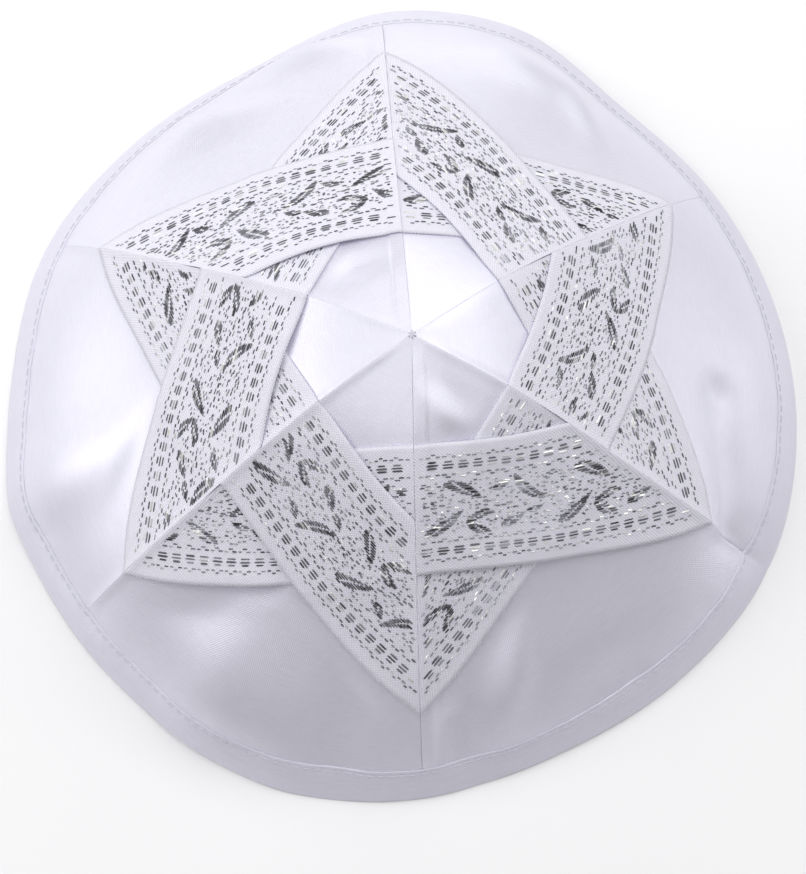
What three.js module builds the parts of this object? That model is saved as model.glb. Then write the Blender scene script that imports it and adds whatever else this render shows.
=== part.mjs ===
// A kippah of six satin gores, with a six-pointed star of crossed ribbon and a bound rim.
// It lies open side down. Millimetres, +Z up, the front of the cap at -Y, and the origin on the
// table under the middle of the cap.
import * as THREE from "three";

const { degToRad, lerp, smoothstep } = THREE.MathUtils;

// Driving dimensions
const CLOTH = 1.0; // wall of the satin, of the ribbon and of the binding tape
const GAP = 0.3; // air between neighbouring pieces
const CROWN_GAP = 1.2; // the tips of the gores start this far from the crown
const RAW_EDGE = 2.0; // the gores end this far above the rim, inside the fold of the binding
const BINDING_DEPTH = 8.5; // how far the binding reaches up the cap from the rim
const RIBBON_WIDTH = 30;
const STAR_POINT = 81.5; // down a seam, from the crown to a point of the star
const STAR_NOTCH = 50; // down a seam, from the crown to a notch of the star
const RIDE_MARGIN = 6; // the upper ribbon stays lifted this far past the lower one
const RIDE_RAMP = 8; // and comes down to the satin over this length
const CALM_REACH = 6; // this far past its edges the ribbon still holds the satin flat, less and less
const OUTLINE_RADIUS = 85; // the round rim that the soft one departs from
const CROWN_SLUMP = { right: 2.0, back: -0.9 }; // how far the crown has slid from the middle
const TABLE_SHIFT = { right: -0.04, back: 0.26 }; // puts the origin under the middle of the outline

// The line that a seam follows from the crown to the table, as the side of the cap shows it
const MERIDIAN = [
  { station: "crown", radius: 0, height: 57.5 },
  { station: "bare hexagon", radius: 22.5, height: 52.3 },
  { station: "star notch", radius: 45.5, height: 37.5 },
  { station: "star point", radius: 70, height: 18 },
  { station: "binding stitches", radius: 79.2, height: 7.4 },
  { station: "rim", radius: 84, height: 0 },
  { station: "under the fold", radius: 85.5, height: -2.4 },
];

// The gores, anticlockwise from above. Each starts at its seam, given as an azimuth, and the three
// radii are those of the soft rim at that seam and at one and two thirds of the way to the next.
// Fullness is how round the gore is across: 0 is flat between its seams and 1 is a true circle.
const GORES = [
  { name: "back_right", seam: 33.5, atSeam: 81.6, atThird: 80.9, atTwoThirds: 86.9, fullness: 0.4 },
  { name: "back_left", seam: 93, atSeam: 86.9, atThird: 80.9, atTwoThirds: 81.5, fullness: 0.4 },
  { name: "left", seam: 156.5, atSeam: 83.9, atThird: 84.0, atTwoThirds: 86.7, fullness: 0.25 },
  { name: "front_left", seam: 216, atSeam: 86.8, atThird: 87.2, atTwoThirds: 89.2, fullness: 0.35 },
  { name: "front_right", seam: 273, atSeam: 87.1, atThird: 84.4, atTwoThirds: 85.3, fullness: 0.25 },
  { name: "right", seam: 334, atSeam: 87.0, atThird: 85.3, atTwoThirds: 83.2, fullness: 0.4 },
];
const CROWN_FULLNESS = 0.1;

// Soft folds in the satin: where each lies in its gore (across from 0 to 1, and down from the
// crown), which way it runs (0 is down the gore), its half width and half length, and how far it
// stands out. A dent stands out by less than nothing. Folds end at the seams, but one set on a seam
// is a crease along it, and both gores carry it.
const FOLDS = [
  { gore: "front_left", across: 0.42, down: 88, turn: -14, halfWidth: 10, halfLength: 20, rise: 2.0 },
  { gore: "front_left", across: 0.78, down: 88, turn: 15, halfWidth: 9, halfLength: 13, rise: -2.0 },
  { gore: "front_left", across: 0.25, down: 78, turn: 115, halfWidth: 4, halfLength: 13, rise: -0.5 },
  { gore: "front_right", across: 0.09, down: 88, turn: -4, halfWidth: 5, halfLength: 12, rise: -1.8 },
  { gore: "front_right", across: 0.28, down: 81, turn: -40, halfWidth: 4, halfLength: 11, rise: 1.4 },
  { gore: "front_right", across: 0.54, down: 92, turn: 84, halfWidth: 6, halfLength: 12, rise: -1.4 },
  { gore: "front_right", across: 0.3, down: 18.5, turn: 12, halfWidth: 2.8, halfLength: 7, rise: 0.7 },
  { gore: "front_right", across: 0.6, down: 18, turn: 11, halfWidth: 3, halfLength: 8, rise: -0.6 },
  { gore: "front_right", across: 1, down: 89, turn: 0, halfWidth: 7, halfLength: 11, rise: -3.0 },
  { gore: "right", across: 0, down: 89, turn: 0, halfWidth: 7, halfLength: 11, rise: -3.0 },
  { gore: "right", across: 0.38, down: 80, turn: 108, halfWidth: 3, halfLength: 5, rise: -1.5 },
  { gore: "right", across: 0.16, down: 84, turn: 108, halfWidth: 4.5, halfLength: 15, rise: -1.6 },
  { gore: "right", across: 0.5, down: 88, turn: 90, halfWidth: 6, halfLength: 14, rise: 1.0 },
  { gore: "right", across: 0.7, down: 26, turn: -44, halfWidth: 4, halfLength: 6, rise: -0.4 },
  { gore: "left", across: 0.66, down: 86, turn: 14, halfWidth: 9, halfLength: 18, rise: 2.6 },
  { gore: "back_left", across: 0.19, down: 91, turn: 77, halfWidth: 4.5, halfLength: 13, rise: 2.8 },
  { gore: "back_left", across: 0.55, down: 86, turn: 79, halfWidth: 4.5, halfLength: 13, rise: 2.6 },
  { gore: "back_left", across: 0.55, down: 22, turn: 74, halfWidth: 3.5, halfLength: 8, rise: -1.2 },
  { gore: "back_right", across: 0.6, down: 87, turn: 94, halfWidth: 5, halfLength: 13, rise: 2.2 },
  { gore: "back_right", across: 0.4, down: 87, turn: 56, halfWidth: 3.5, halfLength: 10, rise: 1.2 },
];

// How finely the cloth is divided
const COLUMNS = 12; // across each gore
const GORE_ROWS = 18;
const RIBBON_ROWS = 4;

// Distance down the meridian to each station, and the curve through them
const downTo = [0];
for (let i = 1; i < MERIDIAN.length; i++) {
  const run = MERIDIAN[i].radius - MERIDIAN[i - 1].radius;
  const drop = MERIDIAN[i].height - MERIDIAN[i - 1].height;
  downTo.push(downTo[i - 1] + Math.hypot(run, drop));
}
const RIM = downTo[MERIDIAN.findIndex(({ station }) => station === "rim")];
const stationValues = MERIDIAN.flatMap(({ radius, height }) => [radius, height]);
const meridianCurve = new THREE.CubicInterpolant(downTo, stationValues, 2);

function meridian(down) {
  const [radius, height] = meridianCurve.evaluate(down);
  return { radius, height };
}

// The soft rim, seen from above
const rimPoints = GORES.flatMap((gore, i) => {
  const next = i + 1 < GORES.length ? GORES[i + 1].seam : GORES[0].seam + 360;
  return [gore.atSeam, gore.atThird, gore.atTwoThirds].map((radius, third) => {
    const azimuth = degToRad(lerp(gore.seam, next, third / 3));
    return new THREE.Vector3(radius * Math.cos(azimuth), radius * Math.sin(azimuth), 0);
  });
});
const rimCurve = new THREE.CatmullRomCurve3(rimPoints, true, "catmullrom", 0.5);

// A gore as it is cut: half its width at a distance down from the crown
const HALF_GORE = Math.PI / GORES.length;

function halfWidth(down) {
  return HALF_GORE * meridian(down).radius;
}

// The ribbon lies straight on the flat gore, from a notch of the star on one seam to a point of
// the star on the other. These are its slope there and its length down the gore.
const notchHalf = halfWidth(STAR_NOTCH);
const pointHalf = halfWidth(STAR_POINT);
const ribbonSlope = (STAR_POINT - STAR_NOTCH) / (notchHalf + pointHalf);
const ribbonCosine = Math.cos(Math.atan(ribbonSlope));

function outerEdgeAt(lateral) {
  return STAR_NOTCH + (lateral + notchHalf) * ribbonSlope;
}

// How far a place on the flat gore lies outside the ribbon, square to its edges
function beyondRibbon(lateral, down) {
  const pastOuter = (down - outerEdgeAt(lateral)) * ribbonCosine;
  return Math.max(pastOuter, -RIBBON_WIDTH - pastOuter, 0);
}

function foldRise(gore, across, down) {
  const lateral = (2 * across - 1) * halfWidth(down);
  const insideTheSeams = 1 - Math.abs(2 * across - 1) ** 6;
  let rise = 0;
  for (const fold of FOLDS.filter((row) => row.gore === gore.name)) {
    const onSeam = fold.across === 0 || fold.across === 1;
    const x = lateral - (2 * fold.across - 1) * halfWidth(onSeam ? down : fold.down);
    const y = down - fold.down;
    const turn = degToRad(fold.turn);
    const along = Math.abs(y * Math.cos(turn) + x * Math.sin(turn)) / fold.halfLength;
    const beside = Math.abs(x * Math.cos(turn) - y * Math.sin(turn)) / fold.halfWidth;
    const fade = Math.exp(-(along ** 2) - beside ** (onSeam ? 1 : 2));
    rise += fold.rise * fade * (onSeam ? 1 : insideTheSeams);
  }
  const pastRibbons = Math.min(beyondRibbon(lateral, down), beyondRibbon(-lateral, down));
  return rise * smoothstep(pastRibbons, 0, CALM_REACH);
}

// A point of the cap: across a gore from 0 at its own seam to 1 at the next, a distance down from
// the crown, and a lift off the outside of the satin
function capPoint(goreIndex, across, down, lift) {
  const gore = GORES[goreIndex];
  const share = Math.max(0, Math.min(1, down / RIM));
  const { radius, height } = meridian(down);
  const rim = rimCurve.getPoint((goreIndex + across) / GORES.length);
  const belly = lerp(CROWN_FULLNESS, gore.fullness, smoothstep(share, 0.1, 0.55));
  const fullness = lerp(belly, 1, smoothstep(share, 0.64, 0.9));
  const chord = Math.cos(HALF_GORE) / Math.cos((2 * across - 1) * HALF_GORE);
  const flattening = lerp(chord, 1, fullness);
  const spread = 1 + (rim.length() / OUTLINE_RADIUS - 1) * share ** 1.5;
  const outward = rim.normalize();

  const step = 0.5;
  const above = meridian(Math.max(0, down - step));
  const below = meridian(down + step);
  const slope = Math.atan2(above.height - below.height, below.radius - above.radius);
  const offset = lift + foldRise(gore, across, down);
  const reach = radius * flattening * spread + offset * Math.sin(slope);
  const slump = (1 - share) ** 2;
  return new THREE.Vector3(
    TABLE_SHIFT.right + CROWN_SLUMP.right * slump + outward.x * reach,
    TABLE_SHIFT.back + CROWN_SLUMP.back * slump + outward.y * reach,
    height + offset * Math.cos(slope),
  );
}

// Columns stand closer together next to the seams, where the cloth turns
function acrossAt(fraction) {
  return 0.5 - 0.5 * Math.cos(Math.PI * fraction);
}

// The same place, drawn in from the seams by half the gap between two gores
function insideSeams(across, down) {
  return 0.5 + (across - 0.5) * (1 - GAP / 2 / halfWidth(down));
}

// A flat slab of cloth bent to the cap: placeAt gives the point for a place across and up the slab
// and through its thickness, each from 0 to 1
function bentCloth(rows, placeAt) {
  const geometry = new THREE.BoxGeometry(1, 1, 1, COLUMNS, rows, 1);
  const position = geometry.attributes.position;
  for (let i = 0; i < position.count; i++) {
    const x = position.getX(i) + 0.5;
    const y = position.getY(i) + 0.5;
    const z = position.getZ(i) + 0.5;
    position.setXYZ(i, ...placeAt(acrossAt(x), y, z));
  }
  geometry.computeVertexNormals();
  return geometry;
}

function goreGeometry(goreIndex) {
  return bentCloth(GORE_ROWS, (across, up, through) => {
    const down = lerp(RIM - RAW_EDGE, CROWN_GAP, up);
    return capPoint(goreIndex, insideSeams(across, down), down, (through - 1) * CLOTH);
  });
}

// Where a line parallel to the outer edge, nearer the crown by inset, passes a place across the gore
function ribbonLine(across, inset) {
  let down = STAR_NOTCH;
  for (let pass = 0; pass < 20; pass++) {
    const lateral = (2 * across - 1) * halfWidth(down);
    down = outerEdgeAt(lateral) - inset / ribbonCosine;
  }
  return down;
}

// 1 where the upper ribbon crosses the lower one, falling to 0 where it lies on the satin
function rideOver(across, down) {
  const mirrored = (1 - 2 * across) * halfWidth(down);
  return 1 - smoothstep(beyondRibbon(mirrored, down), RIDE_MARGIN, RIDE_MARGIN + RIDE_RAMP);
}

function ribbonGeometry(goreIndex, isOver) {
  return bentCloth(RIBBON_ROWS, (across, up, through) => {
    const fromNotch = isOver ? across : 1 - across;
    const down = ribbonLine(fromNotch, up * RIBBON_WIDTH);
    const ride = isOver ? rideOver(across, down) : 0;
    const lift = GAP + ride * (CLOTH + GAP) + through * CLOTH;
    return capPoint(goreIndex, insideSeams(across, down), down, lift);
  });
}

// The binding's section: a tape folded round the raw edge, as lift off the satin and distance below
// the rim, anticlockwise. What would reach below the table is flattened on it.
function bindingSection() {
  const outside = GAP + CLOTH;
  const inside = -CLOTH - GAP - CLOTH;
  const channel = GAP - RAW_EDGE;
  return [
    { lift: inside + 0.5, below: -0.6 },
    { lift: inside + 1.7, below: 0.4 },
    { lift: outside - 0.5, below: 0.6 },
    { lift: outside, below: -0.8 },
    { lift: outside + 0.1, below: -BINDING_DEPTH / 2 },
    { lift: outside, below: -BINDING_DEPTH },
    { lift: GAP, below: -BINDING_DEPTH },
    { lift: GAP, below: channel },
    { lift: -CLOTH - GAP, below: channel },
    { lift: -CLOTH - GAP, below: -BINDING_DEPTH },
    { lift: inside, below: -BINDING_DEPTH },
    { lift: inside - 0.1, below: -BINDING_DEPTH / 2 },
    { lift: inside, below: -1.8 },
  ];
}

function bindingGeometry() {
  const section = bindingSection();
  section.push(section[0]);
  const profile = section.map(({ lift, below }) => new THREE.Vector2(OUTLINE_RADIUS + lift, -below));
  const segments = COLUMNS * GORES.length;
  const geometry = new THREE.LatheGeometry(profile, segments);
  const position = geometry.attributes.position;
  for (let i = 0; i < position.count; i++) {
    const segment = Math.floor(i / section.length) % segments;
    const { lift, below } = section[i % section.length];
    const across = acrossAt((segment % COLUMNS) / COLUMNS);
    const point = capPoint(Math.floor(segment / COLUMNS), across, RIM + below, lift);
    position.setXYZ(i, point.x, point.y, Math.max(0, point.z));
  }
  geometry.computeVertexNormals();
  return geometry;
}

// The pieces
const satin = { color: 0xf0eff6, roughness: 0.42, metalness: 0 };
const jacquard = { color: 0xcfcfd6, roughness: 0.45, metalness: 0.25 };

const cap = new THREE.Group();

function addPiece(name, geometry, finish) {
  const piece = new THREE.Mesh(geometry, new THREE.MeshStandardMaterial(finish));
  piece.name = name;
  cap.add(piece);
}

GORES.forEach(({ name }, goreIndex) => {
  addPiece(`panel_${name}`, goreGeometry(goreIndex), satin);
  addPiece(`ribbon_under_${name}`, ribbonGeometry(goreIndex, false), jacquard);
  addPiece(`ribbon_over_${name}`, ribbonGeometry(goreIndex, true), jacquard);
});
addPiece("rim_binding", bindingGeometry(), satin);

export default cap;
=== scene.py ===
import math
from collections import namedtuple

import bmesh
import bpy
import numpy as np
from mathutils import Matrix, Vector


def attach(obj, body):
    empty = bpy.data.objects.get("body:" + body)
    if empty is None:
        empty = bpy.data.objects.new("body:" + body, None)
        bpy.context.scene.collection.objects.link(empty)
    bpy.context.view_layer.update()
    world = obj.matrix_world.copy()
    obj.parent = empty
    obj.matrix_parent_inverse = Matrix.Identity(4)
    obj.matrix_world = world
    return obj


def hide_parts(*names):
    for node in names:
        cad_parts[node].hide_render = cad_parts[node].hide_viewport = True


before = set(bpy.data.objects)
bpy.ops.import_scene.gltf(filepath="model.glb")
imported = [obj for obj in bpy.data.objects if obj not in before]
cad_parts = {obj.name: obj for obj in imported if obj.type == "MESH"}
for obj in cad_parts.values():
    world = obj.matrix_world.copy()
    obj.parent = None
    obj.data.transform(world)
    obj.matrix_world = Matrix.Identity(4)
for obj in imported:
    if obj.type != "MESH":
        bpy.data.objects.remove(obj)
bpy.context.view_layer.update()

# Satin gores
# Six wedges of white satin with a thin backing, cut on one pattern and sewn edge to edge, so that
# they meet at the crown. The seams hold them in a soft dome, and the satin between folds and dents.
MM = 0.001
SATIN_WALL = 0.8
CROWN_GAP = 0.15
RAW_EDGE = 2.0
OUTLINE_RADIUS = 85.0
CROWN_SLUMP = np.array([2.0, -0.9])
TABLE_SHIFT = np.array([-0.04, 0.26])
CROWN_FULLNESS = 0.1
BELLY_SPAN = (0.1, 0.55)
ROUND_SPAN = (0.64, 0.9)
SPREAD_POWER = 1.5
SLOPE_STEP = 0.5
BINDING_DEPTH = 8.5
RIBBON_WIDTH = 30.0
STAR_POINT = 81.5
STAR_NOTCH = 50.0
CALM_REACH = 6.0
SEAM_HOLD = 6
RIDGE_HALF_WIDTH = 1.2
RIDGE_START = (1.0, 9.0)
RIDGE_FADE = 3.0
ROLL_SHARE = 0.1
ALLOWANCE_WIDTH = 3.3
ALLOWANCE_STEP = 0.7
ALLOWANCE_RISE = 0.25
ALLOWANCE_START = (2.0, 8.0)
ALLOWANCE_GORES = ("back_left", "front_right")

Station = namedtuple("Station", "name radius height")
MERIDIAN = [
    Station("crown", 0.0, 57.5),
    Station("bare hexagon", 22.5, 52.3),
    Station("star notch", 45.5, 37.5),
    Station("star point", 70.0, 18.0),
    Station("binding stitches", 79.2, 7.4),
    Station("rim", 84.0, 0.0),
    Station("under the fold", 85.5, -2.4),
]

Gore = namedtuple("Gore", "name seam at_seam at_third at_two_thirds fullness")
GORES = [
    Gore("back_right", 33.5, 81.6, 80.9, 86.9, 0.4),
    Gore("back_left", 93.0, 86.9, 80.9, 81.5, 0.4),
    Gore("left", 156.5, 83.9, 84.0, 86.7, 0.25),
    Gore("front_left", 216.0, 86.8, 87.2, 89.2, 0.35),
    Gore("front_right", 273.0, 87.1, 84.4, 85.3, 0.25),
    Gore("right", 334.0, 87.0, 85.3, 83.2, 0.4),
]

Fold = namedtuple("Fold", "gore across down turn half_width half_length rise")
FOLDS = [
    Fold("front_left", 0.42, 88, -14, 10, 20, 2.0),
    Fold("front_left", 0.78, 88, 15, 9, 13, -2.0),
    Fold("front_left", 0.25, 78, 115, 4, 13, -0.5),
    Fold("front_right", 0.09, 88, -4, 5, 12, -1.8),
    Fold("front_right", 0.28, 81, -40, 4, 11, 1.4),
    Fold("front_right", 0.54, 92, 84, 6, 12, -1.4),
    Fold("front_right", 0.3, 18.5, 12, 2.8, 7, 0.7),
    Fold("front_right", 0.6, 18, 11, 3, 8, -0.6),
    Fold("front_right", 1, 89, 0, 7, 11, -3.0),
    Fold("right", 0, 89, 0, 7, 11, -3.0),
    Fold("right", 0.38, 80, 108, 3, 5, -1.5),
    Fold("right", 0.16, 84, 108, 4.5, 15, -1.6),
    Fold("right", 0.5, 88, 90, 6, 14, 1.0),
    Fold("right", 0.7, 26, -44, 4, 6, -0.4),
    Fold("left", 0.66, 86, 14, 9, 18, 2.6),
    Fold("back_left", 0.19, 91, 77, 4.5, 13, 2.8),
    Fold("back_left", 0.55, 86, 79, 4.5, 13, 2.6),
    Fold("back_left", 0.55, 22, 74, 3.5, 8, -1.2),
    Fold("back_right", 0.6, 87, 94, 5, 13, 2.2),
    Fold("back_right", 0.4, 87, 56, 3.5, 10, 1.2),
]

station_radius = np.array([station.radius for station in MERIDIAN])
station_height = np.array([station.height for station in MERIDIAN])
station_gap = np.hypot(np.diff(station_radius), np.diff(station_height))
station_down = np.concatenate([[0.0], np.cumsum(station_gap)])
RIM = station_down[[station.name for station in MERIDIAN].index("rim")]
HALF_GORE = math.pi / len(GORES)
RIDGE_END = RIM - BINDING_DEPTH


def smoothstep(low, high, value):
    t = np.clip((value - low) / (high - low), 0.0, 1.0)
    return t * t * (3 - 2 * t)


def along_meridian(values, down):
    """A smooth curve through the stations. Its slope at each is the mean of the chords beside it."""
    chord = np.diff(values) / np.diff(station_down)
    slope = np.concatenate([chord[:1], (chord[1:] + chord[:-1]) / 2, chord[-1:]])
    row = np.clip(np.searchsorted(station_down, down, side="right") - 1, 0, len(values) - 2)
    span = station_down[row + 1] - station_down[row]
    t = (down - station_down[row]) / span
    start = (1 + 2 * t) * (1 - t) ** 2 * values[row] + t * (1 - t) ** 2 * span * slope[row]
    end = t * t * (3 - 2 * t) * values[row + 1] + t * t * (t - 1) * span * slope[row + 1]
    return start + end


def half_width(down):
    """Half the width of a gore, as it is cut, at a distance down from the crown."""
    return HALF_GORE * along_meridian(station_radius, down)


rim_points = []
for index, gore in enumerate(GORES):
    next_seam = GORES[index + 1].seam if index + 1 < len(GORES) else GORES[0].seam + 360
    for third, radius in enumerate((gore.at_seam, gore.at_third, gore.at_two_thirds)):
        azimuth = math.radians(gore.seam + (next_seam - gore.seam) * third / 3)
        rim_points.append((radius * math.cos(azimuth), radius * math.sin(azimuth)))
rim_points = np.array(rim_points)


def rim_plan(index, across):
    """The soft rim seen from above: a closed smooth curve through three points of each gore."""
    place = 3 * (index + across)
    row = np.floor(place).astype(int)
    t = (place - row)[..., None]
    before, start, end, after = (rim_points[(row + step) % len(rim_points)] for step in (-1, 0, 1, 2))
    bend = 2 * before - 5 * start + 4 * end - after
    return start + 0.5 * t * (end - before + t * (bend + t * (3 * (start - end) + after - before)))


notch_half = float(half_width(np.array(STAR_NOTCH)))
point_half = float(half_width(np.array(STAR_POINT)))
ribbon_run = np.array([notch_half + point_half, STAR_POINT - STAR_NOTCH])
ribbon_way = ribbon_run / np.linalg.norm(ribbon_run)
ribbon_slope = ribbon_way[1] / ribbon_way[0]


def past_outer_edge(lateral, down):
    """How far a place on the flat gore lies past the outer edge of a ribbon, square to that edge."""
    return (down - STAR_NOTCH - (lateral + notch_half) * ribbon_slope) * ribbon_way[0]


def beyond_ribbon(lateral, down):
    past = past_outer_edge(lateral, down)
    return np.maximum(np.maximum(past, -RIBBON_WIDTH - past), 0)


def fold_rise(gore, across, down):
    """Folds and dents of a gore. They end at the seams, but one set on a seam is a crease along it."""
    lateral = (2 * across - 1) * half_width(down)
    inside_seams = 1 - np.abs(2 * across - 1) ** SEAM_HOLD
    rise = np.zeros_like(lateral)
    for fold in FOLDS:
        if fold.gore == gore.name:
            on_seam = fold.across in (0, 1)
            level = down if on_seam else np.array(float(fold.down))
            x = lateral - (2 * fold.across - 1) * half_width(level)
            y = down - fold.down
            turn = math.radians(fold.turn)
            along = np.abs(y * math.cos(turn) + x * math.sin(turn)) / fold.half_length
            beside = np.abs(x * math.cos(turn) - y * math.sin(turn)) / fold.half_width
            fade = np.exp(-(along**2) - beside ** (1 if on_seam else 2))
            rise += fold.rise * fade * (1.0 if on_seam else inside_seams)
    past_ribbons = np.minimum(beyond_ribbon(lateral, down), beyond_ribbon(-lateral, down))
    return rise * smoothstep(0.0, CALM_REACH, past_ribbons)


Seam = namedtuple("Seam", "ridge roll")
SEAMS = {
    "back_right": Seam(-0.15, 0.08),
    "back_left": Seam(0.0, 0.08),
    "left": Seam(0.3, 0.05),
    "front_left": Seam(0.42, 0.05),
    "front_right": Seam(0.1, 0.16),
    "right": Seam(0.38, 0.05),
}


def seam_relief(index, across, down):
    """Beside its seam a gore stands up over the allowances inside, and its very edge turns down."""
    gore = GORES[index]
    own = SEAMS[gore.name]
    following = SEAMS[GORES[(index + 1) % len(GORES)].name]
    width = half_width(down)
    from_own = 2 * across * width
    from_next = 2 * (1 - across) * width
    ridge_end = 1 - smoothstep(RIDGE_END - RIDGE_FADE, RIDGE_END, down)
    relief = own.ridge * np.exp(-((from_own / RIDGE_HALF_WIDTH) ** 2))
    relief += following.ridge * np.exp(-((from_next / RIDGE_HALF_WIDTH) ** 2))
    relief *= smoothstep(*RIDGE_START, down) * ridge_end
    roll = np.where(from_own < from_next, own.roll, following.roll)
    roll = np.minimum(roll, ROLL_SHARE * width)
    t = np.clip(np.minimum(from_own, from_next) / np.maximum(roll, 1e-6), 0.0, 1.0)
    relief -= roll * (1 - np.sqrt(1 - (1 - t) ** 2))
    if gore.name in ALLOWANCE_GORES:
        strip = 1 - smoothstep(ALLOWANCE_WIDTH - ALLOWANCE_STEP, ALLOWANCE_WIDTH, from_own)
        relief += ALLOWANCE_RISE * strip * smoothstep(*ALLOWANCE_START, down) * ridge_end
    return relief


Pucker = namedtuple("Pucker", "count phase share")
PUCKERS = [Pucker(47, 0.0, 0.5), Pucker(31, 1.3, 0.35), Pucker(73, 0.4, 0.3)]
PUCKER_RISE = 0.12
PUCKER_ABOVE_RIM = 9.0
PUCKER_REACH = 4.0


def hem_pucker(index, across, down):
    """The stitching of the binding gathers the satin next to it in small uneven waves."""
    turn = 2 * math.pi * (index + across) / len(GORES)
    wave = sum(one.share * np.sin(one.count * turn + one.phase) for one in PUCKERS)
    return PUCKER_RISE * wave * np.exp(-(((down - RIM + PUCKER_ABOVE_RIM) / PUCKER_REACH) ** 2))


def cap_point(index, across, down, lift, seams=True):
    """A point of the cap, in metres, from its place across and down a gore and its lift off it."""
    gore = GORES[index]
    share = np.clip(down / RIM, 0.0, 1.0)
    radius = along_meridian(station_radius, down)
    rim = rim_plan(index, across)
    rim_radius = np.hypot(rim[..., 0], rim[..., 1])
    outward = rim / rim_radius[..., None]
    belly = CROWN_FULLNESS + (gore.fullness - CROWN_FULLNESS) * smoothstep(*BELLY_SPAN, share)
    fullness = belly + (1 - belly) * smoothstep(*ROUND_SPAN, share)
    chord = math.cos(HALF_GORE) / np.cos((2 * across - 1) * HALF_GORE)
    flattening = chord + (1 - chord) * fullness
    spread = 1 + (rim_radius / OUTLINE_RADIUS - 1) * share**SPREAD_POWER

    above = np.maximum(down - SLOPE_STEP, 0)
    below = down + SLOPE_STEP
    drop = along_meridian(station_height, above) - along_meridian(station_height, below)
    run = along_meridian(station_radius, below) - along_meridian(station_radius, above)
    slope = np.arctan2(drop, run)
    offset = lift + fold_rise(gore, across, down) + hem_pucker(index, across, down)
    if seams:
        offset = offset + seam_relief(index, across, down)
    reach = radius * flattening * spread + offset * np.sin(slope)
    plan = TABLE_SHIFT + CROWN_SLUMP * ((1 - share) ** 2)[..., None] + outward * reach[..., None]
    height = along_meridian(station_height, down) + offset * np.cos(slope)
    return np.concatenate([plan, height[..., None]], axis=-1) * MM


def toward_seams(fraction):
    """Columns stand closer together next to the seams, where the cloth turns."""
    return 0.5 - 0.5 * np.cos(math.pi * fraction)


def bent_sheet(name, columns, rows, place, wall, material):
    """A flat grid of cloth bent to the cap, with its cut pattern as a UV map in millimetres."""
    bm = bmesh.new()
    bmesh.ops.create_grid(bm, x_segments=columns, y_segments=rows, size=1)
    bm.verts.index_update()
    flat = np.array([vert.co[:2] for vert in bm.verts])
    flat = (flat - flat.min(axis=0)) / (flat.max(axis=0) - flat.min(axis=0))
    points, pattern = place(flat[:, 0], flat[:, 1])
    for vert, point in zip(bm.verts, points):
        vert.co = point
    uv_layer = bm.loops.layers.uv.new("cloth")
    for face in bm.faces:
        face.smooth = True
        for loop in face.loops:
            loop[uv_layer].uv = pattern[loop.vert.index]
    bmesh.ops.remove_doubles(bm, verts=bm.verts, dist=1e-7)
    mesh = bpy.data.meshes.new(name)
    bm.to_mesh(mesh)
    bm.free()
    mesh.materials.append(material)
    piece = bpy.data.objects.new(name, mesh)
    bpy.context.scene.collection.objects.link(piece)
    thickness = piece.modifiers.new("wall", "SOLIDIFY")
    thickness.thickness = wall * MM
    thickness.offset = -1
    return piece


def add_node(tree, kind, links=(), **settings):
    """A shader node with its settings, and its inputs set to values or joined to other sockets."""
    node = tree.nodes.new(kind)
    for name, value in settings.items():
        setattr(node, name, value)
    for socket, value in dict(links).items():
        if isinstance(value, bpy.types.NodeSocket):
            tree.links.new(value, node.inputs[socket])
        else:
            node.inputs[socket].default_value = value
    return node


SLUB_STRETCH = (0.25, 2.2, 1.0)
SLUB_SPAN = (0.3, 0.7)
WEAVE_SWING = 1.2
RELIEF_DEPTH = 0.05
SHEEN_ROUGHNESS = 0.35


def calculate(tree, operation, *values):
    """The result of a maths node that takes these values or sockets."""
    return add_node(tree, "ShaderNodeMath", dict(enumerate(values)), operation=operation).outputs[0]


def weave_group():
    """Fine threads both ways with a diagonal rib, uneven as spun threads are, on a cloth's UV map."""
    tree = bpy.data.node_groups.new("woven_threads", "ShaderNodeTree")
    tree.interface.new_socket("Cloth", in_out="INPUT", socket_type="NodeSocketVector")
    for name in ("Pitch", "Rib"):
        tree.interface.new_socket(name, in_out="INPUT", socket_type="NodeSocketFloat")
    for name in ("Height", "Thread"):
        tree.interface.new_socket(name, in_out="OUTPUT", socket_type="NodeSocketFloat")
    given = tree.nodes.new("NodeGroupInput").outputs
    result = tree.nodes.new("NodeGroupOutput").inputs
    axes = add_node(tree, "ShaderNodeSeparateXYZ", {0: given["Cloth"]}).outputs
    turns = calculate(tree, "DIVIDE", 2 * math.pi, given["Pitch"])

    def wave(place):
        return calculate(tree, "SINE", calculate(tree, "MULTIPLY", place, turns))

    diagonal = calculate(tree, "ADD", axes[0], axes[1])
    threads = calculate(tree, "MULTIPLY", wave(axes[0]), wave(axes[1]))
    ribs = calculate(tree, "MULTIPLY", wave(diagonal), given["Rib"])
    height = calculate(tree, "ADD", threads, ribs)
    drawn_out = {"Vector": given["Cloth"], "Scale": SLUB_STRETCH}
    stretched = add_node(tree, "ShaderNodeMapping", drawn_out).outputs[0]
    noise = {"Vector": stretched, "Scale": 1.0, "Detail": 3.0}
    slub = add_node(tree, "ShaderNodeTexNoise", noise).outputs[0]
    tree.links.new(height, result["Height"])
    tree.links.new(slub, result["Thread"])
    return tree


woven_threads = weave_group()


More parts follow.
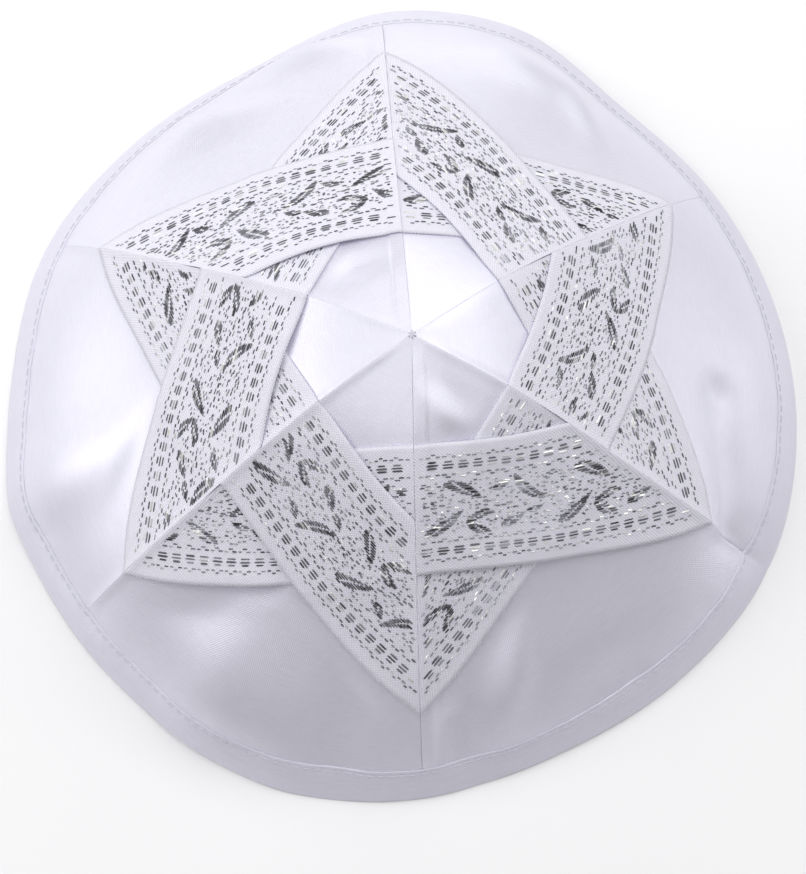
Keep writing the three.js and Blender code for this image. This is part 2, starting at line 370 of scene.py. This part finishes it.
def cloth_material(name, light, dark, pitch, rib, relief, slub, roughness, lustre, sheen):
    """Woven cloth: two near shades drawn by the threads, their relief, and a soft sheen."""
    material = bpy.data.materials.new(name)
    material.use_nodes = True
    tree = material.node_tree
    shader = tree.nodes["Principled BSDF"]
    cloth = add_node(tree, "ShaderNodeUVMap", uv_map="cloth").outputs[0]
    weave = add_node(tree, "ShaderNodeGroup", node_tree=woven_threads)
    tree.links.new(cloth, weave.inputs["Cloth"])
    weave.inputs["Pitch"].default_value = pitch
    weave.inputs["Rib"].default_value = rib
    height = weave.outputs["Height"]
    thread = weave.outputs["Thread"]
    shade_span = {"Value": height, "From Min": -WEAVE_SWING, "From Max": WEAVE_SWING}
    shade = add_node(tree, "ShaderNodeMapRange", shade_span).outputs[0]
    slub_span = {"Value": thread, "From Min": SLUB_SPAN[0], "From Max": SLUB_SPAN[1]}
    uneven = add_node(tree, "ShaderNodeMapRange", slub_span).outputs[0]
    drawn = add_node(tree, "ShaderNodeMix", {0: slub, 2: shade, 3: uneven}).outputs[0]
    colour = add_node(tree, "ShaderNodeMix", {0: drawn, 6: dark, 7: light}, data_type="RGBA").outputs[2]
    bump = add_node(tree, "ShaderNodeBump", {"Height": height, "Strength": relief})
    bump.inputs["Distance"].default_value = RELIEF_DEPTH * MM
    tree.links.new(colour, shader.inputs["Base Color"])
    tree.links.new(bump.outputs[0], shader.inputs["Normal"])
    shader.inputs["Roughness"].default_value = roughness
    shader.inputs["Metallic"].default_value = lustre
    shader.inputs["Sheen Weight"].default_value = sheen
    shader.inputs["Sheen Roughness"].default_value = SHEEN_ROUGHNESS
    return material


satin = cloth_material(
    "white_satin",
    light=(0.895, 0.88, 0.98, 1),
    dark=(0.76, 0.745, 0.855, 1),
    pitch=0.55,
    rib=0.3,
    relief=0.4,
    slub=0.25,
    roughness=0.38,
    lustre=0.35,
    sheen=0.2,
)

GORE_COLUMNS = 64
GORE_ROWS = 96

for index, gore in enumerate(GORES):

    def gore_place(across, up, index=index):
        down = CROWN_GAP + (RIM - RAW_EDGE - CROWN_GAP) * (1 - up)
        across = toward_seams(across)
        lateral = (2 * across - 1) * half_width(down)
        return cap_point(index, across, down, np.zeros_like(down)), np.stack([lateral, down], axis=-1)

    panel = bent_sheet(f"satin_{gore.name}", GORE_COLUMNS, GORE_ROWS, gore_place, SATIN_WALL, satin)
    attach(panel, "root")
    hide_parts(f"panel_{gore.name}")

# Ribbon star
# Twelve straight lengths of one jacquard ribbon, white twill with plain edges. Each crosses a gore
# with both ends caught in its seams, and in every gore one length lies over the other.
RIBBON_WALL = 0.3
RIBBON_SEAT = 0.12
RIDE_MARGIN = 1.0
RIDE_RAMP = 6.0
STAND_REACH = 7.0
STAND_RAMP = 9.0
FREE_POWER = 0.7
RIBBON_COLUMNS = 56
RIBBON_ROWS = 30
SETTLING_ROUNDS = 20


def ribbon_line(across, inset):
    """Where a line inset from the outer edge passes a place across the gore: the distance down."""
    down = np.full_like(across, STAR_NOTCH)
    for _ in range(SETTLING_ROUNDS):
        lateral = (2 * across - 1) * half_width(down)
        down = STAR_NOTCH + (lateral + notch_half) * ribbon_slope - inset / ribbon_way[0]
    return down


Stand = namedtuple("Stand", "outer inner")
EDGE_STANDS = {
    "over_back_left": Stand(0.2, 0.6),
    "over_left": Stand(0.2, 0.6),
    "over_front_right": Stand(0.7, 0.4),
    "under_front_left": Stand(2.0, 0.2),
    "under_right": Stand(0.6, 0.4),
}
PLAIN_STAND = Stand(0.2, 0.2)


def ribbon_lift(index, layer, across, down):
    """How high the top of a ribbon lies: over the other ribbon, and with its free edges standing off."""
    lateral = (2 * across - 1) * half_width(down)
    own, other = (lateral, -lateral) if layer == "over" else (-lateral, lateral)
    beyond = beyond_ribbon(other, down)
    stand = EDGE_STANDS.get(f"{layer}_{GORES[index].name}", PLAIN_STAND)
    inset = -past_outer_edge(own, down)
    edges = stand.outer * np.exp(-((inset / STAND_REACH) ** 2))
    edges += stand.inner * np.exp(-(((RIBBON_WIDTH - inset) / STAND_REACH) ** 2))
    free = np.sin(math.pi * np.clip(across, 0, 1)) ** FREE_POWER
    lift = RIBBON_SEAT + RIBBON_WALL
    if layer == "over":
        ride = 1 - smoothstep(RIDE_MARGIN, RIDE_MARGIN + RIDE_RAMP, beyond)
        return lift + ride * (RIBBON_SEAT + RIBBON_WALL) + edges * free
    return lift + edges * free * smoothstep(0.0, STAND_RAMP, beyond)


def ribbon_pattern(layer, lateral, down):
    """A place on the flat gore as a place along and across the ribbon."""
    own = lateral if layer == "over" else -lateral
    inset = -past_outer_edge(own, down)
    along = (own + notch_half) * ribbon_way[0] + (down - STAR_NOTCH) * ribbon_way[1]
    return np.stack([along, inset], axis=-1)


twill = cloth_material(
    "ribbon_twill",
    light=(0.93, 0.92, 1.0, 1),
    dark=(0.68, 0.67, 0.77, 1),
    pitch=0.72,
    rib=0.3,
    relief=0.6,
    slub=0.15,
    roughness=0.5,
    lustre=0.0,
    sheen=0.1,
)

outer_length = float(np.linalg.norm(ribbon_run))

for index, gore in enumerate(GORES):
    for layer in ("under", "over"):

        def ribbon_place(across, up, index=index, layer=layer):
            across = toward_seams(across)
            from_notch = across if layer == "over" else 1 - across
            down = ribbon_line(from_notch, up * RIBBON_WIDTH)
            lift = ribbon_lift(index, layer, across, down)
            lateral = (2 * across - 1) * half_width(down)
            return cap_point(index, across, down, lift), ribbon_pattern(layer, lateral, down)

        name = f"{layer}_{gore.name}"
        grid = (RIBBON_COLUMNS, RIBBON_ROWS)
        ribbon = bent_sheet(f"ribbon_{name}_twill", *grid, ribbon_place, RIBBON_WALL, twill)
        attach(ribbon, "root")
        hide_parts(f"ribbon_{name}")

# Silver floats
# Flat silver thread woven into the ribbon. It shows where it floats over the twill along the
# ribbon's length: two borders of small lenses between rows of ticks, and a vine with leaves.
FLOAT_PITCH = 0.44
FLOAT_WIDTH = 0.5
FLOAT_RISE = 0.24
LONGEST_FLOAT = 3.2
FLOAT_SINK = 0.05
SEAM_MARGIN = 0.6
SHORT_FLOAT = (1.6, 0.8)
SHORT_NARROWING = 0.25
SHORT_PALENESS = 0.5
# Pale patches on the silver are painted reflection.
SHEEN_PATCH_PALENESS = 0.8
SHEEN_PATCH_ALONG = 8
SHEEN_PATCH_ACROSS = 7
DULL_TONES = (0.07, 0.26)
PALE_GAIN = 0.4
# Glints are painted highlights: some floats are coloured near white.
GLINT_TONES = (0.5, 0.95)
GLINT_SHARE = 0.14
COOL_TINT = 1.1
GLINT_WARM_TINT = 0.96
REPEAT = 30.0
MIDDLE = RIBBON_WIDTH / 2

Leaf = namedtuple("Leaf", "along across turn length width bend")
LEAVES = [
    Leaf(-0.6, -6.4, 38, 10.4, 2.7, 1.0),
    Leaf(13.4, -5.6, 24, 10.2, 2.8, -0.6),
    Leaf(10.2, 6.2, -34, 9.8, 2.6, 0.7),
    Leaf(18.6, 3.8, -17, 7.4, 2.1, -0.5),
    Leaf(19.0, 3.9, 22, 6.4, 2.1, 0.5),
    Leaf(-3.4, 5.0, -20, 6.6, 2.2, 0.4),
    Leaf(2.6, 2.6, -16, 5.0, 1.7, 0.3),
    Leaf(24.4, -3.4, -22, 5.2, 1.9, 0.3),
]
Curl = namedtuple("Curl", "along across radius start sweep")
CURLS = [
    Curl(9.2, -3.2, 2.6, 10, 210),
    Curl(9.2, -3.2, 1.9, 20, 180),
    Curl(6.6, 4.4, 1.7, 150, 260),
    Curl(24.6, 0.6, 1.5, 0, 300),
]
Tick = namedtuple("Tick", "along inset length")
STEM = [
    Tick(6.4, -0.8, 1.4),
    Tick(7.9, -0.4, 1.5),
    Tick(8.6, 0.1, 1.1),
    Tick(9.7, -0.6, 1.5),
    Tick(11.2, -0.2, 1.6),
    Tick(11.6, -0.8, 1.0),
    Tick(12.9, -0.6, 1.5),
    Tick(14.4, -0.1, 1.5),
    Tick(16.0, 0.2, 1.4),
    Tick(22.4, -0.9, 1.4),
    Tick(26.6, 0.5, 1.5),
    Tick(27.9, 0.1, 1.6),
    Tick(28.3, 0.9, 1.3),
    Tick(29.4, 1.3, 1.5),
]
BORDER_REPEAT = 3.3
BORDER = [
    Tick(0.10, 3.2, 1.2),
    Tick(1.20, 2.7, 1.0),
    Tick(2.20, 3.2, 1.0),
    Tick(0.55, 4.4, 2.0),
    Tick(0.15, 5.1, 2.9),
    Tick(0.30, 5.8, 2.5),
    Tick(0.20, 7.3, 1.3),
    Tick(1.05, 7.9, 1.3),
    Tick(2.30, 7.3, 1.0),
]
LEAF_SAMPLE = 0.1
LEAF_TAPER = 0.8
LEAF_ROUNDNESS = 0.6
LEAST_SAMPLES = 4
FLOAT_FILL = 0.94
CURL_STEP = 60.0
CURL_TICK = 1.1
DOT_ROWS = np.arange(-5.8, 5.9, 0.8)
DOT_PITCH = 1.2
DOT_CLEARANCE = 0.7
DOT_SHARE = 0.85
draw = np.random.default_rng(613)


def leaf_floats(leaf):
    """A leaf drawn by threads that all run along the ribbon: one float where each passes through it."""
    turn = math.radians(leaf.turn)
    floats = []
    place = np.arange(-leaf.length, leaf.length, LEAF_SAMPLE)
    for row in np.arange(-leaf.length, leaf.length, FLOAT_PITCH):
        share = np.clip((place * math.cos(turn) + row * math.sin(turn)) / leaf.length, 0, 1)
        middle = leaf.bend * np.sin(math.pi * share)
        beside = row * math.cos(turn) - place * math.sin(turn) - middle
        swell = np.sin(math.pi * share**LEAF_TAPER) ** LEAF_ROUNDNESS
        inside = np.abs(beside) < leaf.width / 2 * swell
        if inside.sum() > LEAST_SAMPLES:
            start, end = place[inside][0], place[inside][-1]
            parts = math.ceil((end - start) / LONGEST_FLOAT)
            for part in range(parts):
                length = (end - start) / parts
                along = leaf.along + start + part * length
                floats.append((along, leaf.across + row, length * FLOAT_FILL))
    return floats


def vine_floats():
    """One repeat of the vine: its leaves, stem and curls, and the dots scattered between."""
    floats = [one for leaf in LEAVES for one in leaf_floats(leaf)]
    floats += STEM
    for curl in CURLS:
        for angle in np.arange(0, curl.sweep, CURL_STEP / curl.radius) + curl.start:
            turn = math.radians(angle)
            along = curl.along + curl.radius * math.cos(turn) - CURL_TICK / 2
            floats.append((along, curl.across - curl.radius * math.sin(turn), CURL_TICK))
    taken = np.array([(along + length / 2, across) for along, across, length in floats])
    for row in DOT_ROWS:
        for along in np.arange(0, REPEAT, DOT_PITCH):
            spot = np.array([along + draw.uniform(-0.5, 0.5), row + draw.uniform(-0.3, 0.3)])
            clear = np.abs(taken - spot).max(axis=1).min() > DOT_CLEARANCE
            if clear and draw.random() < DOT_SHARE:
                floats.append((spot[0], spot[1], draw.uniform(0.45, 1.1)))
    return floats


VINE = vine_floats()


def ribbon_floats(length):
    """All floats of one cut length, starting anywhere in the repeat, as along, inset and length."""
    rows = []
    start = -REPEAT * draw.random() - REPEAT
    flip = draw.choice((-1, 1))
    for repeat in range(math.ceil((length + 3 * REPEAT) / REPEAT)):
        for along, across, run in VINE:
            rows.append((start + repeat * REPEAT + along, MIDDLE + flip * across, run))
    for repeat in range(math.ceil((length + 3 * REPEAT) / BORDER_REPEAT)):
        for tick in BORDER:
            along = start + repeat * BORDER_REPEAT + tick.along
            rows.append((along, tick.inset, tick.length))
            rows.append((along, RIBBON_WIDTH - tick.inset, tick.length))
    return np.array(rows)


# The eight corners of a float, as shares along, sideways and up, and its faces
FLOAT_CORNERS = np.array(
    [
        (0, 0, 0),
        (0.18, -1, 0),
        (0.18, 0, 1),
        (0.18, 1, 0),
        (0.82, -1, 0),
        (0.82, 0, 1),
        (0.82, 1, 0),
        (1, 0, 0),
    ],
    float,
)
FLOAT_SIDES = [(1, 4, 5, 2), (2, 5, 6, 3), (3, 6, 4, 1)]
FLOAT_ENDS = [(0, 1, 2), (0, 2, 3), (0, 3, 1), (7, 5, 4), (7, 6, 5), (7, 4, 6)]
FLOAT_FACES = FLOAT_SIDES + FLOAT_ENDS


def silver_material():
    """Flat metal thread, each float a little lighter or darker: a random grey, with painted reflection
    and painted glints in its colour.
    """
    material = bpy.data.materials.new("silver_thread")
    material.use_nodes = True
    tree = material.node_tree
    shader = tree.nodes["Principled BSDF"]
    tone_and_glint = add_node(tree, "ShaderNodeAttribute", attribute_name="tone_and_glint").outputs["Color"]
    tree.links.new(tone_and_glint, shader.inputs["Base Color"])
    shader.inputs["Metallic"].default_value = 1.0
    shader.inputs["Roughness"].default_value = 0.45
    return material


silver = silver_material()
for index, gore in enumerate(GORES):
    for layer in ("under", "over"):
        rows = ribbon_floats(outer_length)
        count = len(rows)
        short = smoothstep(*SHORT_FLOAT, rows[:, 2])
        width = FLOAT_WIDTH * draw.uniform(0.85, 1.15, count) * (1 - SHORT_NARROWING * short)
        rise = FLOAT_RISE * draw.uniform(0.7, 1.3, count)
        ridge = draw.uniform(-0.5, 0.5, count)
        # Broad pale patches at random places are painted reflection on the silver. Short floats are
        # paler as they show less thread.
        sheen_patch = np.sin(rows[:, 0] / SHEEN_PATCH_ALONG + draw.uniform(0, 6))
        sheen_patch *= np.sin(rows[:, 1] / SHEEN_PATCH_ACROSS + draw.uniform(0, 6))
        pale_and_sheen = SHORT_PALENESS * short + SHEEN_PATCH_PALENESS * smoothstep(0.1, 0.9, sheen_patch)
        dull = draw.uniform(*DULL_TONES, count) + pale_and_sheen * draw.uniform(0, PALE_GAIN, count)
        # Some floats get a near-white colour as a painted glint.
        painted_glint = draw.random(count) < GLINT_SHARE
        tone_and_glint = np.where(painted_glint, draw.uniform(*GLINT_TONES, count), dull)
        along = rows[:, None, 0] + rows[:, None, 2] * FLOAT_CORNERS[None, :, 0]
        sideways = FLOAT_CORNERS[None, :, 1] + ridge[:, None] * FLOAT_CORNERS[None, :, 2]
        inset = rows[:, None, 1] + width[:, None] / 2 * sideways
        own = along * ribbon_way[0] + inset * ribbon_way[1] - notch_half
        down = STAR_NOTCH + along * ribbon_way[1] - inset * ribbon_way[0]
        lateral = own if layer == "over" else -own
        kept = (np.abs(lateral) < half_width(down) - SEAM_MARGIN).all(axis=1)
        lateral, down = lateral[kept], down[kept]
        across = 0.5 + lateral / (2 * half_width(down))
        lift = ribbon_lift(index, layer, across, down) - FLOAT_SINK
        lift += rise[kept][:, None] * FLOAT_CORNERS[None, :, 2]
        points = cap_point(index, across, down, lift).reshape(-1, 3)
        turned = [face[::-1] for face in FLOAT_FACES] if layer == "under" else FLOAT_FACES
        faces = []
        for first in range(0, len(points), len(FLOAT_CORNERS)):
            faces += [tuple(first + corner for corner in face) for face in turned]
        name = f"{layer}_{gore.name}"
        mesh = bpy.data.meshes.new(f"silver_floats_{name}")
        mesh.from_pydata(points.tolist(), [], faces)
        mesh.materials.append(silver)
        shades = mesh.color_attributes.new("tone_and_glint", "FLOAT_COLOR", "POINT")
        grey = np.repeat(tone_and_glint[kept], len(FLOAT_CORNERS))
        # Painted glints get a warm tint and the other floats a cool one.
        blue = grey * np.where(grey < GLINT_TONES[0], COOL_TINT, GLINT_WARM_TINT)
        colours = np.stack([grey, grey, blue, np.ones_like(grey)], axis=-1)
        shades.data.foreach_set("color", colours.ravel())
        floats = bpy.data.objects.new(mesh.name, mesh)
        bpy.context.scene.collection.objects.link(floats)
        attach(floats, "root")

# Rim binding
# One tape of the same satin, folded over the raw edge of all six gores and stitched through. Its fold
# rests on the table, and its two long edges lie flat on the satin, outside and inside.
BINDING_WALL = 0.1
BINDING_SEAT = 0.02
BINDING_PUFF = 0.27
STITCH_INSET = 1.1
TapeFold = namedtuple("TapeFold", "lift below")
laid = BINDING_SEAT + BINDING_WALL
outside = laid + BINDING_PUFF
inside = -SATIN_WALL - outside
TAPE = [
    TapeFold(laid, -BINDING_DEPTH),
    TapeFold(laid + 0.03, -BINDING_DEPTH + 0.6),
    TapeFold(laid + 0.04, -BINDING_DEPTH + STITCH_INSET),
    TapeFold(outside + 0.06, -BINDING_DEPTH + 2.6),
    TapeFold(outside + 0.25, -BINDING_DEPTH * 0.5),
    TapeFold(outside + 0.2, -1.6),
    TapeFold(outside - 0.1, -0.3),
    TapeFold(outside - 0.7, 0.5),
    TapeFold(-0.4, 0.6),
    TapeFold(inside + 0.7, -0.2),
    TapeFold(inside + 0.1, -1.2),
    TapeFold(inside - 0.1, -BINDING_DEPTH * 0.5),
    TapeFold(-SATIN_WALL - laid - 0.1, -BINDING_DEPTH + 2.0),
    TapeFold(-SATIN_WALL - laid, -BINDING_DEPTH),
]
tape_lift = np.array([fold.lift for fold in TAPE])
tape_below = np.array([fold.below for fold in TAPE])
tape_run = np.concatenate([[0.0], np.cumsum(np.hypot(np.diff(tape_lift), np.diff(tape_below)))])


def round_the_rim(turn, down, lift):
    """A point at a share of the way round the rim, over the seams as over the gores."""
    place = (turn % 1.0) * len(GORES)
    points = np.zeros(place.shape + (3,))
    for index in range(len(GORES)):
        here = np.floor(place).astype(int) == index
        if here.any():
            points[here] = cap_point(index, place[here] - index, down[here], lift[here], seams=False)
    return points


def binding_place(turn, up):
    """A place round and across the folded tape. Nothing of it goes below the table."""
    run = (1 - up) * tape_run[-1]
    lift = np.interp(run, tape_run, tape_lift)
    below = np.interp(run, tape_run, tape_below)
    points = round_the_rim(turn, RIM + below, lift)
    points[:, 2] = np.maximum(points[:, 2], BINDING_WALL * MM)
    return points, np.stack([turn * RIM_LENGTH, run], axis=-1)


RIM_COLUMNS = 720
TAPE_ROWS = 48
rim_turns = np.linspace(0, 1, RIM_COLUMNS + 1)
rim_line = round_the_rim(rim_turns, np.full_like(rim_turns, RIM), np.zeros_like(rim_turns))
RIM_LENGTH = float(np.linalg.norm(np.diff(rim_line, axis=0), axis=1).sum()) / MM
tape_satin = cloth_material(
    "binding_satin",
    light=(0.85, 0.835, 0.935, 1),
    dark=(0.77, 0.755, 0.865, 1),
    pitch=0.42,
    rib=0.9,
    relief=0.4,
    slub=0.5,
    roughness=0.42,
    lustre=0.3,
    sheen=0.2,
)
binding = bent_sheet("binding_tape", RIM_COLUMNS, TAPE_ROWS, binding_place, BINDING_WALL, tape_satin)
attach(binding, "root")
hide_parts("rim_binding")

# Binding stitches
# One row of machine stitches in white thread, close to the upper edge of the binding and through all
# layers. It draws the tape down flat on the satin there.
STITCH_PITCH = 2.4
STITCH_LENGTH = 1.9
STITCH_THREAD = 0.26
STITCH_SINK = 0.02
stitch_count = round(RIM_LENGTH / STITCH_PITCH)

# The twelve corners of a stitch, as shares along, sideways and up, in four rings slim at the ends
STITCH_RINGS = (-0.5, -0.3, 0.3, 0.5)
RING_CORNERS = ((-1, 0), (0, 1), (1, 0))
STITCH_CORNERS = np.array([(ring, *corner) for ring in STITCH_RINGS for corner in RING_CORNERS], float)
slim = np.array([0.4, 1.0, 1.0, 0.4]).repeat(3)
stitch_faces = []
for ring in range(3):
    for side in range(3):
        corner = 3 * ring + side
        neighbour = 3 * ring + (side + 1) % 3
        stitch_faces.append((corner, corner + 3, neighbour + 3, neighbour))
stitch_faces.append((0, 1, 2))
stitch_faces.append((11, 10, 9))
stitch_turn = (np.arange(stitch_count) + 0.5) / stitch_count
turn = stitch_turn[:, None] + STITCH_LENGTH / RIM_LENGTH * STITCH_CORNERS[None, :, 0]
stitch_down = RIM - BINDING_DEPTH + STITCH_INSET - STITCH_THREAD / 2 * STITCH_CORNERS[:, 1] * slim
stitch_lift = laid - STITCH_SINK + STITCH_THREAD * STITCH_CORNERS[:, 2] * slim
points = round_the_rim(turn, stitch_down + np.zeros_like(turn), stitch_lift + np.zeros_like(turn))
faces = []
for first in range(0, stitch_count * len(STITCH_CORNERS), len(STITCH_CORNERS)):
    faces += [tuple(first + corner for corner in face) for face in stitch_faces]
mesh = bpy.data.meshes.new("binding_stitches")
mesh.from_pydata(points.reshape(-1, 3).tolist(), [], faces)
# The white thread is coloured mid grey: painted shade of the stitches sunk into the tape.
thread = cloth_material(
    "shaded_stitch_thread",
    light=(0.64, 0.63, 0.71, 1),
    dark=(0.5, 0.49, 0.57, 1),
    pitch=0.3,
    rib=0.5,
    relief=0.2,
    slub=0.5,
    roughness=0.5,
    lustre=0.0,
    sheen=0.1,
)
mesh.materials.append(thread)
stitches = bpy.data.objects.new("binding_stitches", mesh)
bpy.context.scene.collection.objects.link(stitches)
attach(stitches, "root")

# Table and studio
# A plain white table in a pale room, with a softbox behind, a window light on the left, a weak fill in
# front and low lights at the back and right. The camera looks down from a little in front.
FLOOR_SIZE = 3.0
bm = bmesh.new()
bmesh.ops.create_grid(bm, x_segments=1, y_segments=1, size=FLOOR_SIZE / 2)
mesh = bpy.data.meshes.new("table")
bm.to_mesh(mesh)
bm.free()
table = bpy.data.objects.new("table", mesh)
bpy.context.scene.collection.objects.link(table)
white = bpy.data.materials.new("table_white")
white.use_nodes = True
paint = white.node_tree.nodes["Principled BSDF"]
paint.inputs["Base Color"].default_value = (0.98, 0.98, 0.98, 1)
paint.inputs["Roughness"].default_value = 0.7
mesh.materials.append(white)

room = bpy.data.worlds.new("room")
room.use_nodes = True
background = room.node_tree.nodes["Background"]
background.inputs["Color"].default_value = (0.93, 0.93, 1.0, 1)
background.inputs["Strength"].default_value = 0.13
bpy.context.scene.world = room

Lamp = namedtuple("Lamp", "name place size power")
LAMPS = [
    Lamp("back_softbox", (0.25, 0.43, 0.87), 0.9, 6.0),
    Lamp("left_window", (-0.8, 0.06, 0.6), 0.7, 4.5),
    Lamp("front_fill", (0.0, -0.5, 0.87), 0.5, 1.4),
    Lamp("low_back_left", (-0.7, 0.7, 0.17), 0.5, 1.1),
    Lamp("low_back", (0.0, 0.98, 0.17), 0.5, 1.5),
    Lamp("low_right", (0.92, 0.1, 0.38), 0.5, 1.6),
]
for lamp in LAMPS:
    light = bpy.data.lights.new(lamp.name, "AREA")
    light.size = lamp.size
    light.energy = lamp.power
    stand = bpy.data.objects.new(lamp.name, light)
    stand.location = lamp.place
    stand.rotation_euler = (-Vector(lamp.place)).to_track_quat("-Z", "Y").to_euler()
    bpy.context.scene.collection.objects.link(stand)

CAMERA_TILT = math.radians(13)
CAMERA_DISTANCE = 0.9
CAMERA_AIM = Vector((0.00017, -0.00846, 0.0))
camera = bpy.data.cameras.new("camera")
camera.sensor_fit = "VERTICAL"
camera.sensor_height = 36.0
camera.lens = 174.4
viewer = bpy.data.objects.new("camera", camera)
toward_viewer = Vector((0, -math.sin(CAMERA_TILT), math.cos(CAMERA_TILT)))
viewer.location = CAMERA_AIM + CAMERA_DISTANCE * toward_viewer
viewer.rotation_euler = (CAMERA_TILT, 0, 0)
bpy.context.scene.collection.objects.link(viewer)
bpy.context.scene.camera = viewer
bpy.context.scene.view_settings.view_transform = "Standard"
